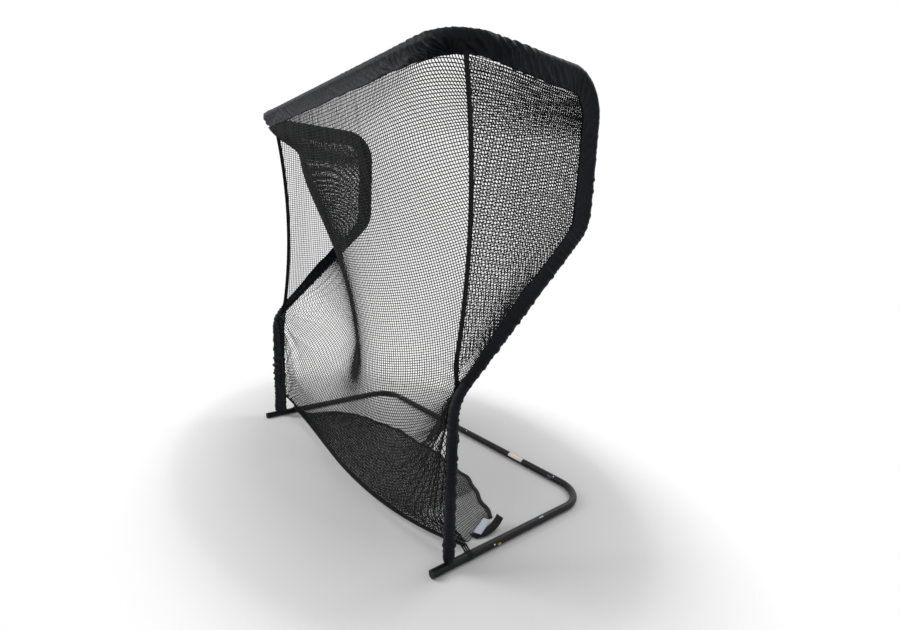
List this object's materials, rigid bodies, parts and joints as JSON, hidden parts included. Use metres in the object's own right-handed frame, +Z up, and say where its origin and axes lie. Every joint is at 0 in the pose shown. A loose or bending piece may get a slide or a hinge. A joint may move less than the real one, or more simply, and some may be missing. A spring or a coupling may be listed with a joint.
{
  "type": "golf practice net",
  "caption": "Free-standing ball-return practice net: bent tube frame with push-button slip joints, cloth sleeves, hanging net, side wings and floor apron.",
  "frame": {"origin": "on the floor, under the middle of the overall width and depth", "axes": "+X across the mouth to the right as a player faces it, +Y from the mouth to the back, +Z up"},
  "size_m": [2.134, 1.0669, 2.134],
  "materials": {
    "tube": "black satin powder coat on aluminium tube",
    "cap": "moulded black polyethylene",
    "button": "bright plated steel",
    "spring": "plain spring steel",
    "sleeve": "coated black nylon cloth",
    "net": "black knotless polyester netting",
    "webbing": "black woven webbing",
    "elastic": "black elastic band",
    "tag": "plain white woven label, no print"
  },
  "bodies": {
    "frame": {"base_front_left": "tube", "base_front_right": "tube", "base_corner_left": "tube", "base_corner_right": "tube", "base_rear_left": "tube", "base_rear_right": "tube", "upright_left": "tube", "upright_right": "tube", "rear_side_left": "tube", "rear_side_right": "tube", "upper_side_left": "tube", "upper_side_right": "tube", "top_corner_left": "tube", "top_corner_right": "tube", "crossbar_left": "tube", "crossbar_right": "tube", "end_cap_left": "cap", "end_cap_right": "cap", "leaf_springs": "spring", "crossbar_sleeve": "sleeve", "side_sleeve_left": "sleeve", "side_sleeve_right": "sleeve", "upright_sleeve_left": "sleeve", "upright_sleeve_right": "sleeve", "main_net": "net", "wing_net_left": "net", "wing_net_right": "net", "apron_net": "net", "wing_strap_left": "webbing", "wing_strap_right": "webbing", "front_hem": "webbing", "apron_hem": "webbing", "corner_tie_left": "elastic", "corner_tie_right": "elastic", "loose_strap": "webbing", "care_tag": "tag"},
    "snap_button_foot_left": {"button_foot_left": "button"},
    "snap_button_foot_right": {"button_foot_right": "button"},
    "snap_button_post_left": {"button_post_left": "button"},
    "snap_button_post_right": {"button_post_right": "button"},
    "snap_button_rear_corner_left": {"button_rear_corner_left": "button"},
    "snap_button_rear_corner_right": {"button_rear_corner_right": "button"},
    "snap_button_slope_left": {"button_slope_left": "button"},
    "snap_button_slope_right": {"button_slope_right": "button"},
    "snap_button_rear_run_left": {"button_rear_run_left": "button"},
    "snap_button_rear_run_right": {"button_rear_run_right": "button"},
    "snap_button_top_run_left": {"button_top_run_left": "button"},
    "snap_button_top_run_right": {"button_top_run_right": "button"},
    "snap_button_crossbar_left": {"button_crossbar_left": "button"},
    "snap_button_crossbar_right": {"button_crossbar_right": "button"},
    "snap_button_rear_middle": {"button_rear_middle": "button"},
    "snap_button_crossbar_middle": {"button_crossbar_middle": "button"}
  },
  "joints": [
    {"name": "button_foot_left_press", "type": "slide", "parent": "frame", "child": "snap_button_foot_left", "axis": [0.9292, 0, -0.3697], "range_m": [0, 0.006], "stiffness_N_per_m": 1500, "springref_m": -0.004, "deforming": ["leaf_springs"]},
    {"name": "button_foot_right_press", "type": "slide", "parent": "frame", "child": "snap_button_foot_right", "axis": [-0.9292, 0, -0.3697], "range_m": [0, 0.006], "stiffness_N_per_m": 1500, "springref_m": -0.004, "deforming": ["leaf_springs"]},
    {"name": "button_post_left_press", "type": "slide", "parent": "frame", "child": "snap_button_post_left", "axis": [0, -1, 0], "range_m": [0, 0.006], "stiffness_N_per_m": 1500, "springref_m": -0.004, "deforming": ["leaf_springs"]},
    {"name": "button_post_right_press", "type": "slide", "parent": "frame", "child": "snap_button_post_right", "axis": [0, -1, 0], "range_m": [0, 0.006], "stiffness_N_per_m": 1500, "springref_m": -0.004, "deforming": ["leaf_springs"]},
    {"name": "button_rear_corner_left_press", "type": "slide", "parent": "frame", "child": "snap_button_rear_corner_left", "axis": [0, 0.6, -0.8], "range_m": [0, 0.006], "stiffness_N_per_m": 1500, "springref_m": -0.004, "deforming": ["leaf_springs"]},
    {"name": "button_rear_corner_right_press", "type": "slide", "parent": "frame", "child": "snap_button_rear_corner_right", "axis": [0, 0.6, -0.8], "range_m": [0, 0.006], "stiffness_N_per_m": 1500, "springref_m": -0.004, "deforming": ["leaf_springs"]},
    {"name": "button_slope_left_press", "type": "slide", "parent": "frame", "child": "snap_button_slope_left", "axis": [0, 0.6825, -0.7309], "range_m": [0, 0.006], "stiffness_N_per_m": 1500, "springref_m": -0.004, "deforming": ["leaf_springs"]},
    {"name": "button_slope_right_press", "type": "slide", "parent": "frame", "child": "snap_button_slope_right", "axis": [0, 0.6825, -0.7309], "range_m": [0, 0.006], "stiffness_N_per_m": 1500, "springref_m": -0.004, "deforming": ["leaf_springs"]},
    {"name": "button_rear_run_left_press", "type": "slide", "parent": "frame", "child": "snap_button_rear_run_left", "axis": [0, 0.9998, -0.0214], "range_m": [0, 0.006], "stiffness_N_per_m": 1500, "springref_m": -0.004, "deforming": ["leaf_springs"]},
    {"name": "button_rear_run_right_press", "type": "slide", "parent": "frame", "child": "snap_button_rear_run_right", "axis": [0, 0.9998, -0.0214], "range_m": [0, 0.006], "stiffness_N_per_m": 1500, "springref_m": -0.004, "deforming": ["leaf_springs"]},
    {"name": "button_top_run_left_press", "type": "slide", "parent": "frame", "child": "snap_button_top_run_left", "axis": [0, 0, 1], "range_m": [0, 0.006], "stiffness_N_per_m": 1500, "springref_m": -0.004, "deforming": ["leaf_springs"]},
    {"name": "button_top_run_right_press", "type": "slide", "parent": "frame", "child": "snap_button_top_run_right", "axis": [0, 0, 1], "range_m": [0, 0.006], "stiffness_N_per_m": 1500, "springref_m": -0.004, "deforming": ["leaf_springs"]},
    {"name": "button_crossbar_left_press", "type": "slide", "parent": "frame", "child": "snap_button_crossbar_left", "axis": [0, 0, 1], "range_m": [0, 0.006], "stiffness_N_per_m": 1500, "springref_m": -0.004, "deforming": ["leaf_springs"]},
    {"name": "button_crossbar_right_press", "type": "slide", "parent": "frame", "child": "snap_button_crossbar_right", "axis": [0, 0, 1], "range_m": [0, 0.006], "stiffness_N_per_m": 1500, "springref_m": -0.004, "deforming": ["leaf_springs"]},
    {"name": "button_rear_middle_press", "type": "slide", "parent": "frame", "child": "snap_button_rear_middle", "axis": [0, 0.6, -0.8], "range_m": [0, 0.006], "stiffness_N_per_m": 1500, "springref_m": -0.004, "deforming": ["leaf_springs"]},
    {"name": "button_crossbar_middle_press", "type": "slide", "parent": "frame", "child": "snap_button_crossbar_middle", "axis": [0, 0, 1], "range_m": [0, 0.006], "stiffness_N_per_m": 1500, "springref_m": -0.004, "deforming": ["leaf_springs"]}
  ]
}
